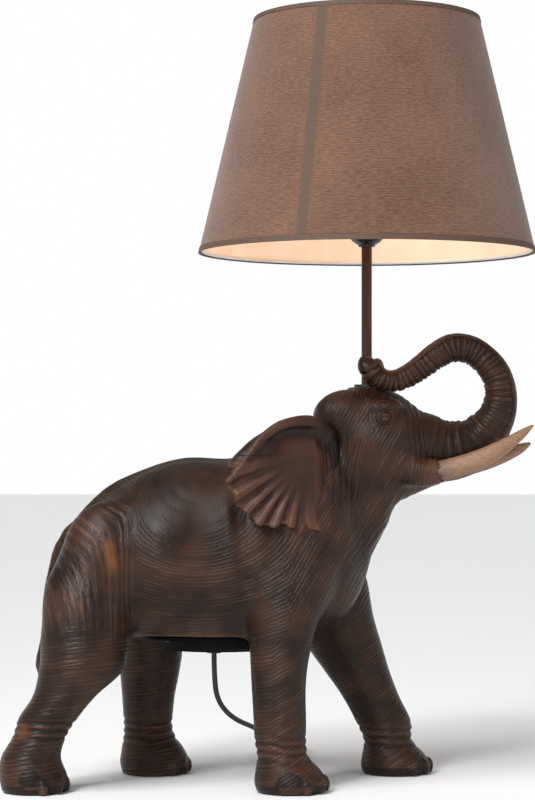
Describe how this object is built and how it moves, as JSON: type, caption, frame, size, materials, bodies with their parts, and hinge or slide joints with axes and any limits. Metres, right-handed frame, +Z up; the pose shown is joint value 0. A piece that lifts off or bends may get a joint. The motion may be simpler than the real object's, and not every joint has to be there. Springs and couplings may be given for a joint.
{
  "type": "figural table lamp",
  "caption": "Table lamp with a carved-look elephant base, raised trunk curled to a slim pole, a tapered round fabric shade and a mains lead with plug.",
  "frame": {"origin": "on the table, under the middle of the box of the lamp without its lead", "axes": "+X the way the elephant faces, +Z up, -Y the elephant's right side"},
  "size_m": [0.5041, 0.404, 0.728],
  "materials": {
    "carved_resin": "dark brown painted casting carved with fine grooves, reddish wear on the high places, satin",
    "tusk_resin": "tan painted casting, darker towards the socket, satin",
    "felt": "thin dark felt",
    "brown_tube": "copper brown lacquered tube, semi-gloss",
    "black_steel": "black painted steel",
    "zinc_steel": "zinc plated steel",
    "black_phenolic": "moulded black, smooth",
    "holder_ceramic": "unglazed white ceramic",
    "brass": "bare brass",
    "bulb_cap_metal": "rolled aluminium",
    "bulb_glass": "clear thin glass",
    "stem_glass": "clear solid glass",
    "shade_fabric": "brown woven fabric with uneven threads",
    "shade_liner": "translucent cream lining, warm where the lamp is lit",
    "trim_tape": "narrow brown bias tape",
    "white_wire": "white epoxy coated wire",
    "black_pan": "black pressed steel, satin",
    "black_rubber": "black rubber",
    "black_nylon": "black nylon",
    "black_pvc": "round black flexible lead, satin",
    "black_strap": "woven black strap",
    "black_plug": "moulded black plug, fine texture",
    "plug_metal": "nickel plated brass",
    "filament": "glowing filament"
  },
  "bodies": {
    "lamp": {"belly_pan": "black_pan", "centre_contact": "brass", "cord_bush": "black_rubber", "cord_grip": "black_nylon", "cord_hank": "black_pvc", "cord_tail": "black_pvc", "dome_grub_screw": "zinc_steel", "elephant_casting": "carved_resin", "foot_pads": "felt", "grip_screw": "zinc_steel", "hank_tie": "black_strap", "head_flange": "black_steel", "holder_core": "holder_ceramic", "internal_lead": "black_pvc", "lampholder_barrel": "black_phenolic", "lampholder_dome": "black_phenolic", "left_tusk": "tusk_resin", "lower_nut": "zinc_steel", "lower_washer": "zinc_steel", "pan_screws": "black_steel", "plug_body": "black_plug", "plug_pins": "plug_metal", "pole": "brown_tube", "power_cord": "black_pvc", "right_tusk": "tusk_resin", "screw_shell": "brass", "switch_contact": "brass", "terminal_screws": "brass"},
    "shade": {"shade_fabric": "shade_fabric", "shade_liner": "shade_liner", "bottom_trim": "trim_tape", "top_trim": "trim_tape", "fabric_seams": "trim_tape", "bottom_ring": "white_wire", "top_ring": "white_wire", "shade_frame": "white_wire"},
    "clamp_ring": {"shade_ring": "black_phenolic"},
    "bulb": {"bulb_cap": "bulb_cap_metal", "bulb_contact": "bulb_cap_metal", "bulb_glass": "bulb_glass", "bulb_stem": "stem_glass", "bulb_filaments": "filament", "filament_spreader": "bulb_cap_metal"},
    "switch": {"switch_knob": "black_phenolic"}
  },
  "joints": [
    {"name": "shade_turn", "type": "hinge", "parent": "lamp", "child": "shade", "pos_m": [0.091, 0, 0.541], "axis": [0, 0, 1], "continuous": true},
    {"name": "clamp_ring_turn", "type": "hinge", "parent": "lamp", "child": "clamp_ring", "pos_m": [0.091, 0, 0.545], "axis": [0, 0, 1], "continuous": true},
    {"name": "bulb_unscrew", "type": "hinge", "parent": "lamp", "child": "bulb", "pos_m": [0.091, 0, 0.56], "axis": [0, 0, 1], "range_deg": [0, 1800]},
    {"name": "switch_turn", "type": "hinge", "parent": "lamp", "child": "switch", "pos_m": [0.091, 0, 0.526], "axis": [1, 0, 0], "continuous": true}
  ]
}
